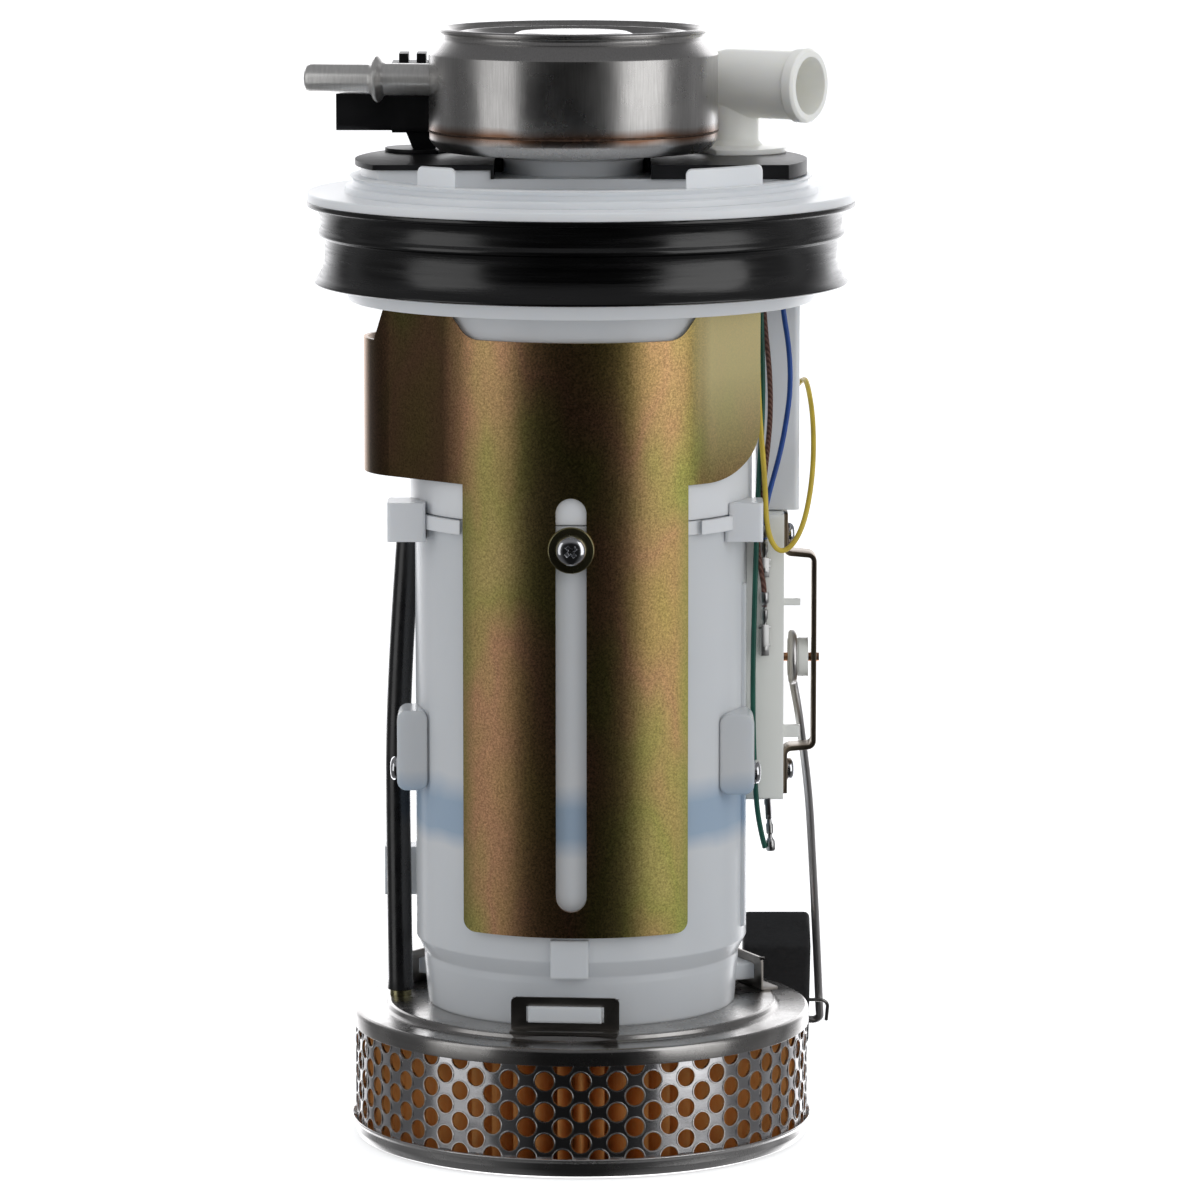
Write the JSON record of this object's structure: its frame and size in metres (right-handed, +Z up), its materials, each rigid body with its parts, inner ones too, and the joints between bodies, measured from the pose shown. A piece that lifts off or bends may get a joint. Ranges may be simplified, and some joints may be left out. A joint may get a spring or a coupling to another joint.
{
  "type": "fuel pump module",
  "caption": "In-tank fuel pump module: sealed tank flange with filter can, clamped by a slotted bracket to a pump reservoir on a perforated strainer, with a float level sender.",
  "frame": {"origin": "centre of the strainer's flat base, on the reservoir's axis", "axes": "+Z up through the tank flange and filter can, -Y out of the slotted bracket's front, +X to the level sender's side"},
  "size_m": [0.1459, 0.1474, 0.296],
  "materials": {
    "acetal_white": "satin",
    "cup_white": "satin, translucent",
    "vent_cream": "satin",
    "sender_white": "satin",
    "seal_rubber": "satin",
    "hose_rubber": "satin",
    "isolator_rubber": "satin",
    "black_nylon": "satin",
    "stainless": "brushed",
    "cap_steel": "polished",
    "sleeve_steel": "polished",
    "yellow_zinc": "passivated, grained",
    "zinc_screw": "plated",
    "olive_zinc": "passivated",
    "bail_bronze": "passivated",
    "wire_steel": "drawn",
    "spring_steel": "drawn",
    "clip_steel": "satin",
    "copper": "satin",
    "contact_tin": "tinned",
    "filter_paper": "matt",
    "card_ceramic": "matt",
    "float_foam": "matt",
    "magnet": "matt",
    "rotor_iron": "satin",
    "pump_steel": "satin",
    "pump_plastic": "satin",
    "lead_blue": "satin",
    "lead_brown": "satin",
    "lead_green": "satin",
    "lead_yellow": "satin"
  },
  "bodies": {
    "module_base": {"strainer_bottom_cap": "cap_steel", "strainer_top_cap": "cap_steel", "strainer_sleeve": "sleeve_steel", "strainer_pleats": "filter_paper", "strainer_core": "pump_steel", "strainer_clips": "clip_steel", "vent_nipple": "olive_zinc", "vent_hose": "hose_rubber", "reservoir_cup": "cup_white", "reservoir_lid": "acetal_white", "pump_casing": "pump_steel", "pump_inlet_cap": "pump_plastic", "pump_outlet_cap": "pump_plastic", "pump_magnets": "magnet", "pump_isolator": "isolator_rubber", "check_valve_spring": "spring_steel", "feed_hose": "hose_rubber", "clamp_washer": "olive_zinc", "clamp_screw": "zinc_screw", "side_screws": "zinc_screw", "sender_housing": "sender_white", "sender_card": "card_ceramic", "sender_bail": "bail_bronze", "bail_screws": "zinc_screw", "pivot_pin": "copper", "lead_terminals": "contact_tin", "wire_blue": "lead_blue", "wire_brown": "lead_brown", "wire_green": "lead_green", "wire_yellow": "lead_yellow"},
    "flange_unit": {"flange": "acetal_white", "flange_seal": "seal_rubber", "terminal_plate": "black_nylon", "connector_housing": "black_nylon", "connector_pins": "contact_tin", "filter_can_shell": "stainless", "filter_can_base": "stainless", "filter_media": "filter_paper", "outlet_nipple": "stainless", "vent_valve": "vent_cream", "regulator_body": "pump_steel", "regulator_diaphragm": "hose_rubber", "slide_bracket": "yellow_zinc", "bracket_screws": "zinc_screw"},
    "level_arm": {"float_arm_wire": "wire_steel", "float_hub": "sender_white", "float_body": "float_foam", "float_retainer": "spring_steel"},
    "pump_rotor": {"rotor_shaft": "wire_steel", "armature": "rotor_iron", "commutator": "copper", "impeller": "pump_plastic"},
    "check_ball": {"check_valve_ball": "wire_steel"}
  },
  "joints": [
    {"name": "height_slide", "type": "slide", "parent": "module_base", "child": "flange_unit", "axis": [0, 0, 1], "range_m": [0, 0.091], "deforming": ["feed_hose", "wire_blue", "wire_brown", "wire_green", "wire_yellow"]},
    {"name": "float_swing", "type": "hinge", "parent": "module_base", "child": "level_arm", "pos_m": [0.058, 0.008, 0.1274], "axis": [1, 0, 0], "range_deg": [0, 70]},
    {"name": "pump_spin", "type": "hinge", "parent": "module_base", "child": "pump_rotor", "pos_m": [0, 0, 0.09], "axis": [0, 0, 1], "continuous": true},
    {"name": "check_valve_lift", "type": "slide", "parent": "module_base", "child": "check_ball", "axis": [0, 0, 1], "range_m": [0, 0.003], "stiffness_N_per_m": 40, "springref_m": -0.004, "deforming": ["check_valve_spring"]}
  ]
}
